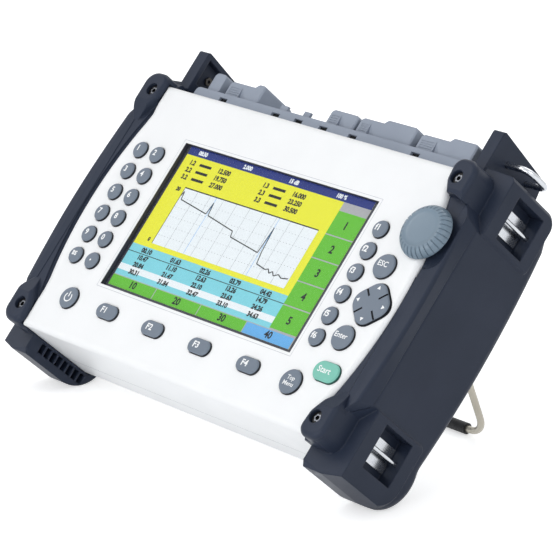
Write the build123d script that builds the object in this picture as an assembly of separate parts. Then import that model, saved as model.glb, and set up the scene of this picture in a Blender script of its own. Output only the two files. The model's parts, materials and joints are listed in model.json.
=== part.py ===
from build123d import *
import math
import os

# Handheld optical time domain reflectometer in two side bumpers, leaning on its wire stand.
# The device is drawn upright and then laid back on the stand.
# Upright frame, millimetres: x to the right from the middle, y from the front panel to the rear,
# z up from the front edge of the bumpers' feet.

# Case
case_half_width = 131.0
case_bottom = 9.5
case_top = 169.5
case_depth = 61.0
rear_case_depth = 20.0
case_wall = 2.6
ledge_depth = 6.0
panel_wall = 2.0
pad_wall = 1.8
pad_middle = 91.1
pad_bulge = 129.5
pad_neck = 119.0
pad_neck_reach = 66.0
pad_round = 3.5
seat_gap = 0.2
port_cut = 8.0

# Display
display_x = 0.5
display_z = 93.7
active_width = 152.4
active_height = 91.4
window_left = 77.9
window_right = 80.2
window_bottom = 46.6
window_top = 139.2
window_sheet = 1.0
window_overlap = 2.5
module_depth = 6.0
module_border = 5.5

# Keys
key_gap = 0.3
key_proud = 1.8
key_flange = 1.0
key_flange_reach = 0.9
key_flange_gap = 0.1
key_travel = 1.0
key_bevel = 0.6
number_key_diameter = 10.0
number_key_x = -107.7
number_key_top = 127.0
number_key_step_x = 14.55
number_key_step_z = 14.03
power_key_diameter = 13.0
bottom_row_z = 32.4
soft_key_x = -59.1
soft_key_step = 39.35
soft_key_length = 16.5
soft_key_height = 8.7
side_key_x = 92.4
side_key_top = 124.6
side_key_step = 13.13
side_key_diameter = 10.0
round_key_diameter = 14.0
escape_key_place = (108.8, 106.2)
enter_key_place = (109.0, 63.4)
menu_key_place = (92.6, 32.2)
start_key_place = (111.7, 43.4)
start_key_length = 18.0
start_key_height = 11.0
cursor_place = (114.6, 84.9)
cursor_width = 25.0
cursor_height = 24.0
cursor_round = 7.0
cursor_slit = 1.1
cursor_slit_depth = 0.9
cursor_hub = 5.0
cursor_tilt = 3.0
pivot_ring = 9.0
pivot_plate = 1.6
pivot_ball = 4.0
pivot_socket = 1.0

# Jog knob
knob_place = (123.2, 130.0)
knob_diameter = 31.0
knob_height = 6.0
knob_lift = 0.8
knob_rim = 0.8
knob_side_width = 2.2
knob_side_depth = 3.0
knob_bevel_width = 3.6
knob_dish_depth = 0.9
knob_dish_radius = 40.0
knob_groove_count = 24
knob_groove_width = 0.6
knob_groove_depth = 0.4
knob_shaft_diameter = 4.0
encoder_size = 9.0
encoder_depth = 5.0

# Boards and inner units
membrane_thickness = 1.0
board_thickness = 1.6
key_rest_gap = 1.3
keypad_posts = [(-100.4, 134.0), (-112.0, 40.0), (0.0, 27.0), (104.0, 126.0), (108.0, 27.0)]
keypad_post_diameter = 5.0
sheet_edge_gap = 0.6
sheet_display_gap = 2.0
sheet_key_margin = 4.0
main_board_front = 24.0
main_board_side_gap = 12.4
main_board_low_gap = 1.4
main_board_top_gap = 3.0
board_post_diameter = 7.0
board_post_inset = 4.0
optical_module_size = (100.0, 18.0, 66.0)
optical_module_inset = 20.0
optical_module_drop = 7.5
optical_module_bevel = 3.0
battery_round = 5.0
battery_size = (118.0, 26.0, 52.0)
battery_door_size = (128.0, 60.0)
battery_place = (0.0, 52.0)
battery_frame = 1.5
battery_frame_depth = 1.8
battery_door_round = 3.0
door_groove_count = 5
door_groove_step = 2.4
door_groove_width = 1.2
door_groove_length = 28.0
door_groove_depth = 0.8
door_groove_inset = 8.0

# Bumpers
bumper_thickness = 11.0
bumper_overlap = 14.0
block_proud = 1.5
bumper_front = 2.0
bumper_top = 178.0
bumper_edge_round = 5.0
foot_bottom = -3.0
heel_radius = 22.0
heel_inset = 15.0
heel_wrap = 25.0
heel_blend = 8.0
foot_front = 11.0
rear_bow_proud = 8.0
rear_top_proud = 3.5
rear_shoulder_z = 160.0
top_rear_inset = 4.0
nose_z = 12.0
foot_chamfer_width = 12.0
foot_chamfer_height = 3.0
flange_bevel = 9.0
tab_front = -4.0
tab_width = 16.5
tab_wrap = 2.0
tab_round = 8.0
tab_edge = 2.5
boss_width = 18.0
boss_taper = 1.5
boss_waist = 22.0
boss_ramp = 26.5
boss_straight = 27.0
boss_end = 38.0
boss_end_width = 4.5
boss_end_inset = 2.5
boss_inner_round = 6.0
boss_waist_round = 8.0
boss_edge = 3.0
rear_tab_height = 22.0
rear_tab_proud = 8.5
rear_tab_low = 27.0
rear_tab_high = 158.0
screw_inset = 7.1
screw_low = 19.4
screw_head_diameter = 7.0
screw_head_height = 3.0
screw_shank_diameter = 4.0
screw_length = 14.0
screw_fit = 0.05
screw_head_gap = 0.3
screw_sink = 2.0
screw_socket = 2.0
screw_socket_depth = 1.6
screw_boss_wall = 1.5
screw_boss_end = 3.0
scoop_radius = 24.0
scoop_depth = 1.0
block_front = 11.0
block_rear_inset = 1.5
block_low_top = 39.8
block_edge = 2.0
block_heel_round = 16.5
block_top_round = 8.0
block_inner_round = 4.0
step_wall = 3.0
step_low = 8.0
step_straight = 30.0
step_tip = 41.0
step_round = 8.0
step_floor_inner = 11.0
step_floor_outer = 15.5

# Strap windows, pins and plates in the bumper blocks
strap_y = 37.0
strap_length = 24.0
strap_height = 25.0
strap_low = 23.0
strap_high = 159.5
strap_backing = 1.5
strap_pin_diameter = 2.5
strap_pin_inset = 4.0
strap_pin_seat = 3.0
strap_plate_height = 14.3
strap_plate_thickness = 1.2
strap_plate_gap = 0.5

# Fins with the strap loops, and the cored feet
fin_thickness = 8.0
fin_inset = 8.0
fin_front = 11.0
fin_rear_inset = 7.0
fin_top = 199.5
fin_top_rear = 195.0
fin_wall = 3.5
fin_round = 1.5
loop_wire = 3.5
loop_z = 187.0
loop_front = 24.6
loop_rear = 43.6
loop_length = 16.0
loop_bend = 6.0
loop_seat = 2.5
pocket_count = 8
pocket_width = 3.6
pocket_step = 5.0
pocket_start = 20.0
pocket_low = 1.8
pocket_high = 7.6
pocket_depth = 8.0

# Port panel on top and its covers
port_half_width = 109.0
port_front = 11.5
port_rear_inset = 4.0
port_rise = 4.5
port_plate = 3.0
port_wall = 2.5
port_skirt = 9.0
lip_height = 3.8
lip_thickness = 2.4
lip_round = 3.0
slot_width = 6.5
slot_height = 2.2
slot_drop = 1.2
slot_depth = 1.6
end_block = (-104.0, -94.7)
cover_front = 14.6
cover_rear = 40.5
cover_wall = 1.6
cover_lift = 0.4
cover_edge = 0.8
cover_low = 13.7
cover_high = 16.0
cover_flat = 3.5
cover_step = 2.0
cover_round = 2.5
recess_depth = 2.8
recess_height = 11.6
tab_plate_height = 4.3
tab_plate = 1.6
grip_grooves = 6
grip_groove = 0.25
grip_groove_step = 1.4
hinge_offset = 3.2
hinge_rise = 3.0
hinge_barrel = 4.4
hinge_pin = 2.0
hinge_fit = 0.1
hinge_web = 2.4
lug_inset = 1.0
lug_thickness = 2.6
lug_side_gap = 0.4
lug_wall = 1.1
adapter_x = (-75.4, 6.7, 48.0, 86.0)
adapter_y = 29.0
adapter_barrel = 9.0
adapter_height = 6.0
adapter_depth = 8.0
adapter_bore = 2.5
adapter_flange = 14.0
adapter_flange_height = 1.8
adapter_flange_bevel = 2.0
usb_x = (-43.2, -15.2)
usb_size = (13.0, 6.0)
usb_wall = 0.6
usb_rim = 1.0
usb_rim_height = 0.8
usb_depth = 14.0
usb_floor = 3.0

# Wire stand
stand_wire = 4.0
stand_half_width = 98.5
stand_length = 83.2
stand_pivot_proud = 4.0
stand_pivot_z = 114.0
stand_open = 64.0
stand_pin_inner = 80.0
stand_bend = 5.0
stand_corner = 12.0
stand_sleeve_outer = 6.4
stand_sleeve_fit = 0.05
stand_sleeve_gap = 2.0
stand_bracket_width = 8.0
stand_bracket_height = 11.0
stand_fit = 0.08
stand_pin_reach = 1.0


def block(x0, x1, y0, y1, z0, z1):
    return Pos((x0 + x1) / 2, (y0 + y1) / 2, (z0 + z1) / 2) * Box(x1 - x0, y1 - y0, z1 - z0)


def front_prism(sketch, y0, y1):
    plane = Plane(origin=(0, y1, 0), x_dir=(1, 0, 0), z_dir=(0, -1, 0))
    return extrude(plane * sketch, amount=y1 - y0)


def side_prism(sketch, x0, x1):
    plane = Plane(origin=(x0, 0, 0), x_dir=(0, 1, 0), z_dir=(1, 0, 0))
    return extrude(plane * sketch, amount=x1 - x0)


def rod_y(x, z, diameter, y0, y1):
    return front_prism(Pos(x, z) * Circle(diameter / 2), y0, y1)


def rod_x(y, z, diameter, x0, x1):
    return side_prism(Pos(y, z) * Circle(diameter / 2), x0, x1)


def mirrored(solid):
    return mirror(solid, about=Plane.YZ)


# Places that follow from the sizes above
case_split = case_depth - rear_case_depth
heel_y = case_depth - heel_inset
rear_bow = case_depth + rear_bow_proud
rear_top = case_depth + rear_top_proud
top_rear = case_depth - top_rear_inset
rear_tab_back = case_depth + rear_tab_proud
block_rear = case_depth - block_rear_inset
fin_rear = case_depth - fin_rear_inset
port_rear = case_depth - port_rear_inset
stand_pivot_y = case_depth + stand_pivot_proud
bumper_half_width = case_half_width + bumper_thickness
bumper_inner = case_half_width - bumper_overlap
tab_outer = case_half_width + tab_wrap
tab_inner = tab_outer - tab_width
step_x = case_half_width + step_wall
boss_inner = step_x - boss_width
boss_end_outer = step_x - boss_end_inset
boss_end_inner = boss_end_outer - boss_end_width
screw_x = case_half_width - screw_inset
strap_floor = case_half_width + strap_backing
strap_pin_x = bumper_half_width - strap_pin_inset
fin_outer = case_half_width - fin_inset
fin_inner = fin_outer - fin_thickness
loop_reach = fin_outer + loop_length
port_deck = case_top + port_rise
port_lip = port_deck + lip_height
hinge_y = cover_rear + hinge_offset
hinge_z = port_deck + hinge_rise
screw_high = 2 * pad_middle - screw_low
front_screw_seat = tab_front + screw_sink + screw_head_height
block_high_bottom = 2 * pad_middle - block_low_top
key_flange_front = panel_wall + key_flange_gap
membrane_front = key_flange_front + key_flange + key_travel + key_rest_gap
main_board_half_width = case_half_width - case_wall - main_board_side_gap
main_board_low = case_bottom + case_wall + main_board_low_gap
main_board_high = case_top - port_skirt - main_board_top_gap

# The lean follows from the heel of the bumpers and the sleeve of the open stand on one floor
heel_z = foot_bottom + heel_radius
sleeve_y = stand_pivot_y + stand_length * math.sin(math.radians(stand_open))
sleeve_z = stand_pivot_z - stand_length * math.cos(math.radians(stand_open))
support_span = math.hypot(sleeve_y - heel_y, sleeve_z - heel_z)
support_slope = math.atan2(sleeve_z - heel_z, sleeve_y - heel_y)
lean = support_slope + math.asin((heel_radius - stand_sleeve_outer / 2) / support_span)
lean_degrees = math.degrees(lean)

# The cursor pad tilts about a ball that stands just clear of the keypad board
cursor_pivot_y = membrane_front + membrane_thickness - pivot_ball / 2 - seat_gap
cursor_gap = key_gap + (cursor_pivot_y + key_proud) * math.tan(math.radians(cursor_tilt))


def pad_outline(grow=0.0):
    # Panel outline: straight top and bottom, sides bowed out between the bumper tabs
    low = pad_middle - pad_neck_reach
    high = pad_middle + pad_neck_reach
    neck = pad_neck + grow
    bulge = pad_bulge + grow
    bottom = case_bottom - grow
    top = case_top + grow
    right = Line((neck, bottom), (neck, low)) + ThreePointArc((neck, low), (bulge, pad_middle), (neck, high))
    right += Line((neck, high), (neck, top))
    left = Line((-neck, top), (-neck, high))
    left += ThreePointArc((-neck, high), (-bulge, pad_middle), (-neck, low))
    left += Line((-neck, low), (-neck, bottom))
    loop = right + Line((neck, top), (-neck, top)) + left + Line((-neck, bottom), (neck, bottom))
    return make_face(loop)


# Key plans: name, centre, outline
def stadium(length, height):
    return SlotOverall(length, height)


def key_plans():
    plans = []
    digits = ["1", "2", "3", "4", "5", "6", "7", "8", "9", "0", "back", "dot"]
    for index, digit in enumerate(digits):
        x = number_key_x + number_key_step_x * (index % 2)
        z = number_key_top - number_key_step_z * (index // 2)
        plans.append((f"number_key_{digit}", (x, z), Circle(number_key_diameter / 2)))
    power_x = number_key_x + number_key_step_x
    plans.append(("power_key", (power_x, bottom_row_z), Circle(power_key_diameter / 2)))
    for index in range(4):
        x = soft_key_x + soft_key_step * index
        plans.append((f"soft_key_{index + 1}", (x, bottom_row_z), stadium(soft_key_length, soft_key_height)))
    for index in range(6):
        z = side_key_top - side_key_step * index
        plans.append((f"side_key_{index + 1}", (side_key_x, z), Circle(side_key_diameter / 2)))
    plans.append(("escape_key", escape_key_place, Circle(round_key_diameter / 2)))
    plans.append(("enter_key", enter_key_place, Circle(round_key_diameter / 2)))
    plans.append(("menu_key", menu_key_place, Circle(round_key_diameter / 2)))
    plans.append(("start_key", start_key_place, stadium(start_key_length, start_key_height)))
    return plans


def key_solid(place, outline):
    # Cap through the panel, flange behind it that stops the cap from falling out
    x, z = place
    cap = front_prism(Pos(x, z) * outline, -key_proud, key_flange_front)
    front_edges = cap.edges().group_by(Axis.Y)[0]
    cap = chamfer(front_edges, key_bevel)
    wide = offset(outline, amount=key_gap + key_flange_reach)
    return cap + front_prism(Pos(x, z) * wide, key_flange_front, key_flange_front + key_flange)


def key_hole(place, outline):
    x, z = place
    return front_prism(Pos(x, z) * offset(outline, amount=key_gap), -1, panel_wall + 1)


def cursor_outline():
    # Diamond with rounded corners
    half_w = cursor_width / 2
    half_h = cursor_height / 2
    stretch = cursor_round * (math.sqrt(2) - 1)
    diamond = Polyline((half_w + stretch, 0), (0, half_h + stretch), (-half_w - stretch, 0),
                       (0, -half_h - stretch), close=True)
    face = make_face(diamond)
    return fillet(face.vertices(), cursor_round)


def cursor_pad():
    x, z = cursor_place
    back = key_flange_front + key_flange
    pad = front_prism(Pos(x, z) * cursor_outline(), -key_proud, back)
    pad = chamfer(pad.edges().group_by(Axis.Y)[0], key_bevel)
    reach = cursor_width
    for angle in (45, 135, 225, 315):
        slit = Pos(cursor_hub + reach / 2, 0) * Rectangle(reach, cursor_slit)
        slit = Pos(x, z) * (Rot(0, 0, angle) * slit)
        pad -= front_prism(slit, -key_proud - 1, -key_proud + cursor_slit_depth)
    return pad - rod_y(x, z, pivot_ring + 2 * key_gap, back - pivot_socket, back + 1)


def cursor_pivot():
    # Ring that the pad tilts on in one way, itself tilting the other way on the keypad board
    x, z = cursor_place
    front = key_flange_front + key_flange - pivot_socket + key_gap
    plate = rod_y(x, z, pivot_ring, front, front + pivot_plate)
    return plate + Pos(x, cursor_pivot_y, z) * Sphere(pivot_ball / 2)


def front_case(plans):
    body = block(-case_half_width, case_half_width, ledge_depth, case_split, case_bottom, case_top)
    pad = front_prism(pad_outline(), 0, ledge_depth + 0.5)
    pad = fillet(pad.edges().group_by(Axis.Y)[0], pad_round)
    body += pad
    inner_x = case_half_width - case_wall
    low = case_bottom + case_wall
    high = case_top - case_wall
    body -= block(-inner_x, inner_x, ledge_depth + case_wall, case_split + 1, low, high)
    body -= front_prism(pad_outline(-pad_wall), panel_wall, ledge_depth + case_wall + 0.1)
    boss = screw_head_diameter + 2 * screw_boss_wall
    hole = screw_shank_diameter + 2 * screw_fit
    hole_end = front_screw_seat + screw_length + screw_boss_end
    for side in (-1, 1):
        for z in (screw_low, screw_high):
            body += rod_y(side * screw_x, z, boss, ledge_depth, hole_end + screw_boss_wall)
            body -= rod_y(side * screw_x, z, hole, -1, hole_end)
        for z in (main_board_low + board_post_inset, main_board_high - board_post_inset):
            x = side * (main_board_half_width - board_post_inset)
            body += rod_y(x, z, board_post_diameter, panel_wall - 0.5, main_board_front)
    for x, z in keypad_posts:
        body += rod_y(x, z, keypad_post_diameter, panel_wall - 0.5, membrane_front)
    opening = port_half_width + seat_gap
    body -= block(-opening, opening, port_front - seat_gap, case_split + 1, case_top - port_cut, case_top + 1)
    body -= block(-window_left, window_right, -1, panel_wall + 0.5, window_bottom, window_top)
    for name, place, outline in plans:
        body -= key_hole(place, outline)
    x, z = cursor_place
    body -= front_prism(Pos(x, z) * offset(cursor_outline(), amount=cursor_gap), -1, panel_wall + 1)
    x, z = knob_place
    body -= rod_y(x, z, knob_shaft_diameter + 2 * key_gap, -1, ledge_depth + case_wall + 1)
    return body


def rear_case():
    body = block(-case_half_width, case_half_width, case_split, case_depth, case_bottom, case_top)
    back_edges = body.edges().filter_by(Axis.X).group_by(Axis.Y)[-1]
    body = fillet(back_edges, pad_round)
    inner_x = case_half_width - case_wall
    body -= block(-inner_x, inner_x, case_split - 1, case_depth - case_wall,
                  case_bottom + case_wall, case_top - case_wall)
    opening = port_half_width + seat_gap
    port_end = port_rear + seat_gap
    body -= block(-opening, opening, case_split - 1, port_end, case_top - port_cut, case_top + 1)
    body += block(-opening, opening, port_end, case_depth, case_top - port_cut, port_deck)
    width, height = battery_door_size
    x, z = battery_place
    body -= block(x - width / 2, x + width / 2, case_depth - case_wall - 1, case_depth + 1,
                  z - height / 2, z + height / 2)
    body += battery_ledge(battery_frame) - battery_ledge(-battery_frame)
    boss = screw_head_diameter + 2 * screw_boss_wall
    hole = screw_shank_diameter + 2 * screw_fit
    hole_start = rear_tab_back - screw_head_height - screw_length - screw_boss_end
    for side in (-1, 1):
        for place in (rear_tab_low, rear_tab_high):
            body += rod_y(side * screw_x, place, boss, hole_start - screw_boss_wall, case_depth - 0.5)
            body -= rod_y(side * screw_x, place, hole, hole_start, case_depth + 1)
    return body


def battery_ledge(grow):
    # Inner frame that the door rests on
    width, height = battery_door_size
    x, z = battery_place
    back = case_depth - case_wall
    return block(x - width / 2 - grow, x + width / 2 + grow, back - battery_frame_depth, back,
                 z - height / 2 - grow, z + height / 2 + grow)


def battery_door():
    width, height = battery_door_size
    x, z = battery_place
    gap = seat_gap
    door = block(x - width / 2 + gap, x + width / 2 - gap, case_depth - case_wall, case_depth,
                 z - height / 2 + gap, z + height / 2 - gap)
    door = fillet(door.edges().filter_by(Axis.Y), battery_door_round)
    half = door_groove_length / 2
    for index in range(door_groove_count):
        top = z + height / 2 - door_groove_inset - door_groove_step * index
        door -= block(x - half, x + half, case_depth - door_groove_depth, case_depth + 1,
                      top - door_groove_width, top)
    return door


def display_window():
    over = window_overlap
    return block(-window_left - over, window_right + over, panel_wall, panel_wall + window_sheet,
                 window_bottom - over, window_top + over)


def display_module():
    front = panel_wall + window_sheet
    half_w = active_width / 2 + module_border
    half_h = active_height / 2 + module_border
    return block(display_x - half_w, display_x + half_w, front, front + module_depth,
                 display_z - half_h, display_z + half_h)


def keypad_sheet(y0, y1):
    # U of sheet under the keys, round the display
    half_w = active_width / 2 + module_border + sheet_display_gap
    low = bottom_row_z - power_key_diameter / 2 - sheet_key_margin
    high = number_key_top + number_key_diameter / 2 + sheet_key_margin
    sheet = front_prism(pad_outline(-pad_wall - sheet_edge_gap), y0, y1)
    sheet = sheet & block(-pad_bulge, pad_bulge, y0, y1, low, high)
    sheet -= block(display_x - half_w, display_x + half_w, y0 - 1, y1 + 1,
                   display_z - active_height / 2 - module_border - sheet_display_gap, case_top)
    x, z = knob_place
    return sheet - rod_y(x, z, 2 * encoder_size, y0 - 1, y1 + 1)


def keypad_membrane():
    back = membrane_front + membrane_thickness
    x, z = cursor_place
    return keypad_sheet(membrane_front, back) - rod_y(x, z, pivot_ring + 2, membrane_front - 1, back + 1)


def keypad_board():
    front = membrane_front + membrane_thickness
    return keypad_sheet(front, front + board_thickness)


def main_board():
    half = main_board_half_width
    back = main_board_front + board_thickness
    return block(-half, half, main_board_front, back, main_board_low, main_board_high)


def optical_module():
    width, depth, height = optical_module_size
    front = main_board_front + board_thickness
    left = optical_module_inset - main_board_half_width
    top = main_board_high - optical_module_drop
    unit = block(left, left + width, front, front + depth, top - height, top)
    return chamfer(unit.edges().filter_by(Axis.Y), optical_module_bevel)


def battery_pack():
    width, depth, height = battery_size
    x, z = battery_place
    back = case_depth - case_wall
    pack = block(x - width / 2, x + width / 2, back - depth, back, z - height / 2, z + height / 2)
    return fillet(pack.edges().filter_by(Axis.X), battery_round)


def rotary_encoder():
    x, z = knob_place
    half = encoder_size / 2
    front = ledge_depth + case_wall
    body = block(x - half, x + half, front, front + encoder_depth, z - half, z + half)
    return body - rod_y(x, z, knob_shaft_diameter + 2 * screw_fit, front - 1, front + encoder_depth - 1)


def jog_knob():
    # Low dial on its shaft: coned side, grooved bevel and dished top
    x, z = knob_place
    back = -knob_lift
    front = back - knob_height
    edge = back - knob_side_depth
    rim = knob_diameter / 2
    shoulder = rim - knob_side_width
    crown = shoulder - knob_bevel_width
    profile = Polyline((0, back), (rim, back), (rim, back - knob_rim), (shoulder, edge), (crown, front),
                       (0, front), close=True)
    dial = Pos(x, 0, z) * revolve(make_face(profile), Axis.Y)
    dial -= Pos(x, front - knob_dish_radius + knob_dish_depth, z) * Sphere(knob_dish_radius)
    slant = math.degrees(math.atan2(edge - front, knob_bevel_width))
    length = math.hypot(edge - front, knob_bevel_width)
    groove = Rot(0, 0, slant) * Box(length + 1, 2 * knob_groove_depth, knob_groove_width)
    for index in range(knob_groove_count):
        turn = Rot(0, 360 / knob_groove_count * index, 0)
        dial -= Pos(x, (front + edge) / 2, z) * turn * Pos((shoulder + crown) / 2, 0, 0) * groove
    stem_end = ledge_depth + case_wall + encoder_depth - 1.5
    return dial + rod_y(x, z, knob_shaft_diameter, back - 0.5, stem_end)


def bumper_profile():
    # Side outline: sloping nose, flat foot, heel that wraps up behind, bowed rear, top ledge, straight front
    toe = foot_front - foot_bottom * (foot_front - bumper_front) / nose_z
    wrap = math.radians(heel_wrap)
    middle = math.radians((heel_wrap - 90) / 2)
    heel_middle = (heel_y + heel_radius * math.cos(middle), heel_z + heel_radius * math.sin(middle))
    heel_end = (heel_y + heel_radius * math.cos(wrap), heel_z + heel_radius * math.sin(wrap))
    bow = (rear_bow, (heel_end[1] + rear_shoulder_z) / 2)
    edge = Line((toe, foot_bottom), (heel_y, foot_bottom))
    edge += ThreePointArc((heel_y, foot_bottom), heel_middle, heel_end)
    edge += ThreePointArc(heel_end, bow, (rear_top, rear_shoulder_z))
    edge += Line((rear_top, rear_shoulder_z), (top_rear, bumper_top))
    edge += Line((top_rear, bumper_top), (foot_front, bumper_top))
    edge += Line((foot_front, bumper_top), (bumper_front, bumper_top - nose_z))
    edge += Line((bumper_front, bumper_top - nose_z), (bumper_front, nose_z))
    edge += Line((bumper_front, nose_z), (toe, foot_bottom))
    face = make_face(edge)
    hollow = min(face.vertices(), key=lambda v: math.hypot(v.X - heel_end[0], v.Y - heel_end[1]))
    return fillet(hollow, heel_blend)


def bumper_block(z0, z1, low_round, high_round):
    # Thick corner round a strap window, standing a little proud of the side
    outline = Polyline((block_front, z0), (block_rear, z0), (block_rear, z1), (block_front, z1), close=True)
    face = make_face(outline)
    low = face.vertices().group_by(Axis.X)[-1].sort_by(Axis.Y)[0]
    face = fillet(low, low_round)
    high = face.vertices().sort_by(Axis.Y).group_by(Axis.Y)[-1].sort_by(Axis.X)[-1]
    face = fillet(high, high_round)
    shape = side_prism(face, case_half_width, bumper_half_width)
    return chamfer(shape.faces().sort_by(Axis.X)[-1].edges(), block_edge)


def bumper_tab(y0, y1, z, height):
    width = tab_outer - tab_inner
    outline = Pos((tab_inner + tab_outer) / 2, z) * RectangleRounded(width, height, tab_round)
    return front_prism(outline, y0, y1)


def bumper_boss():
    # Screw boss at the foot, wrapped round the corner of the case, with a ramp down to the flange
    waist = (boss_inner + boss_taper, boss_waist)
    outline = make_face(Polyline((boss_inner, step_low), (step_x, step_low), (step_x, boss_straight),
                                 (boss_end_outer, boss_end), (boss_end_inner, boss_end), waist,
                                 close=True))
    rounds = [((boss_inner, step_low), boss_inner_round), ((step_x, step_low), step_round),
              (waist, boss_waist_round)]
    for (x, z), radius in rounds:
        corner = min(outline.vertices(), key=lambda v: math.hypot(v.X - x, v.Y - z))
        outline = fillet(corner, radius)
    shape = front_prism(outline, tab_front, step_floor_outer)
    shape = fillet(shape.faces().sort_by(Axis.Y)[0].edges(), boss_edge)
    ramp = Polyline((tab_front - 1, boss_ramp), (tab_front, boss_ramp), (bumper_front, boss_end),
                    (bumper_front, boss_end + 1), (tab_front - 1, boss_end + 1), close=True)
    return shape - side_prism(make_face(ramp), boss_inner - 1, step_x + 1)


def corner_step():
    # Step round the outer corner of a screw tab, drawn at the foot, with a floor that falls back outwards
    far = bumper_half_width + 5
    near = bumper_inner - 5
    deep = foot_bottom - 5
    fall = (step_floor_outer - step_floor_inner) / (bumper_half_width - bumper_inner)
    floor = make_face(Polyline((near, tab_front - 10), (far, tab_front - 10),
                               (far, step_floor_outer + 5 * fall),
                               (near, step_floor_inner - 5 * fall), close=True))
    plan = Pos(0, 0, deep) * extrude(floor, amount=step_tip - deep + 5)
    outline = make_face(Polyline((near, deep), (far, deep), (far, step_tip), (bumper_half_width, step_tip),
                                 (step_x, step_straight), (step_x, step_low), (near, step_low), close=True))
    corner = min(outline.vertices(), key=lambda v: math.hypot(v.X - step_x, v.Y - step_low))
    return plan & front_prism(fillet(corner, step_round), tab_front - 10, step_floor_outer + 5)


def fin():
    root = bumper_top - 4
    outline = Polyline((fin_front, root), (fin_rear + 3, root), (fin_rear + 3, bumper_top),
                       (fin_rear, fin_top_rear), (fin_front, fin_top), close=True)
    plate = side_prism(make_face(outline), fin_inner, fin_outer)
    top_edges = plate.edges().filter_by(Axis.X).sort_by(Axis.Z)[-2:]
    plate = fillet(top_edges, fin_round)
    hollow = Polyline((fin_front + fin_wall, bumper_top + 2), (fin_rear - fin_wall, bumper_top + 2),
                      (fin_rear - fin_wall, fin_top_rear - fin_wall),
                      (fin_front + fin_wall, fin_top - fin_wall), close=True)
    return plate - side_prism(make_face(hollow), fin_inner - 1, fin_outer - fin_wall)


def bumper_body():
    # Side wall with a bevelled flange towards the panel and rounded outer edges
    body = side_prism(bumper_profile(), bumper_inner, bumper_half_width - block_proud)
    flange = body.edges().filter_by(Axis.Z).group_by(Axis.Y)[0].sort_by(Axis.X)[-1]
    body = chamfer(flange, flange_bevel)
    return fillet(body.faces().sort_by(Axis.X)[-1].edges(), bumper_edge_round)


def right_bumper_plain():
    main = bumper_body()
    main += bumper_block(foot_bottom, block_low_top, block_heel_round, block_inner_round)
    main += bumper_block(block_high_bottom, bumper_top, block_inner_round, block_top_round)
    middle = Plane(origin=(0, 0, pad_middle), z_dir=(0, 0, 1))
    step = corner_step()
    main -= step
    main -= mirror(step, about=middle)
    main += fin()
    boss = bumper_boss()
    main += boss
    main += mirror(boss, about=middle)
    for z in (rear_tab_low, rear_tab_high):
        tab = bumper_tab(case_depth, rear_tab_back, z, rear_tab_height)
        main += chamfer(tab.edges().group_by(Axis.Y)[-1], tab_edge)
    # Room for the case and its panel
    main -= block(0, case_half_width + seat_gap, ledge_depth, case_depth + seat_gap,
                  case_bottom - seat_gap, case_top + seat_gap)
    main -= front_prism(pad_outline(seat_gap), -seat_gap, ledge_depth + 1)
    # Sloping underside of the foot
    edge = bumper_half_width - foot_chamfer_width
    rise = foot_bottom + foot_chamfer_height
    slope = Polyline((bumper_half_width + 1, foot_bottom - 1), (bumper_half_width + 1, rise),
                     (bumper_half_width, rise), (edge, foot_bottom), (edge, foot_bottom - 1), close=True)
    main -= front_prism(make_face(slope), tab_front - 1, rear_tab_back + 1)
    for index in range(pocket_count):
        y = pocket_start + pocket_step * index
        main -= block(bumper_inner - 1, bumper_inner + pocket_depth, y, y + pocket_width,
                      pocket_low, pocket_high)
    # Screw holes, front and rear
    hole = screw_shank_diameter + 2 * screw_fit
    head = screw_head_diameter + 2 * screw_head_gap
    for z in (screw_low, screw_high):
        main -= rod_y(screw_x, z, head, tab_front - 1, front_screw_seat)
        main -= rod_y(screw_x, z, hole, tab_front, ledge_depth + 1)
    for z in (rear_tab_low, rear_tab_high):
        main -= rod_y(screw_x, z, head, rear_tab_back - screw_head_height, rear_tab_back + 1)
        main -= rod_y(screw_x, z, hole, case_depth - 1, rear_tab_back)
    # Strap windows with the seats of their pins
    for z in (strap_low, strap_high):
        main -= block(strap_floor, bumper_half_width + 1,
                      strap_y - strap_length / 2, strap_y + strap_length / 2,
                      z - strap_height / 2, z + strap_height / 2)
        half = strap_length / 2 + strap_pin_seat
        main -= rod_y(strap_pin_x, z, strap_pin_diameter + 2 * screw_fit, strap_y - half, strap_y + half)
    for y in (loop_front, loop_rear):
        main -= rod_x(y, loop_z, loop_wire + 2 * screw_fit, fin_outer - loop_seat, fin_outer + 1)
    return main


def right_bumper(plain):
    x, z = knob_place
    return plain - rod_y(x, z, 2 * scoop_radius, tab_front - 1, bumper_front + scoop_depth)


def screw(x, z, seat, way):
    # Socket head screw, way is the direction from head to tip along y
    head = rod_y(x, z, screw_head_diameter, min(seat, seat - way * screw_head_height),
                 max(seat, seat - way * screw_head_height))
    tip = seat + way * screw_length
    shank = rod_y(x, z, screw_shank_diameter, min(seat, tip), max(seat, tip))
    socket = RegularPolygon(screw_socket, 6)
    top = seat - way * screw_head_height
    inner = top + way * screw_socket_depth
    return head + shank - front_prism(Pos(x, z) * socket, min(top, inner), max(top, inner))


def bumper_screws():
    screws = []
    for side in (-1, 1):
        for z in (screw_low, screw_high):
            screws.append(screw(side * screw_x, z, front_screw_seat, 1))
        for z in (rear_tab_low, rear_tab_high):
            screws.append(screw(side * screw_x, z, rear_tab_back - screw_head_height, -1))
    return screws


def strap_pins():
    half = strap_length / 2 + strap_pin_seat
    pins = []
    for side in (-1, 1):
        for z in (strap_low, strap_high):
            pins.append(rod_y(side * strap_pin_x, z, strap_pin_diameter, strap_y - half, strap_y + half))
    return pins


def strap_plates():
    half = strap_length / 2 - strap_plate_gap
    plates = []
    for z in (strap_low, strap_high):
        plate = block(strap_floor, strap_floor + strap_plate_thickness, strap_y - half, strap_y + half,
                      z - strap_plate_height / 2, z + strap_plate_height / 2)
        plates += [plate, mirrored(plate)]
    return plates


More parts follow.
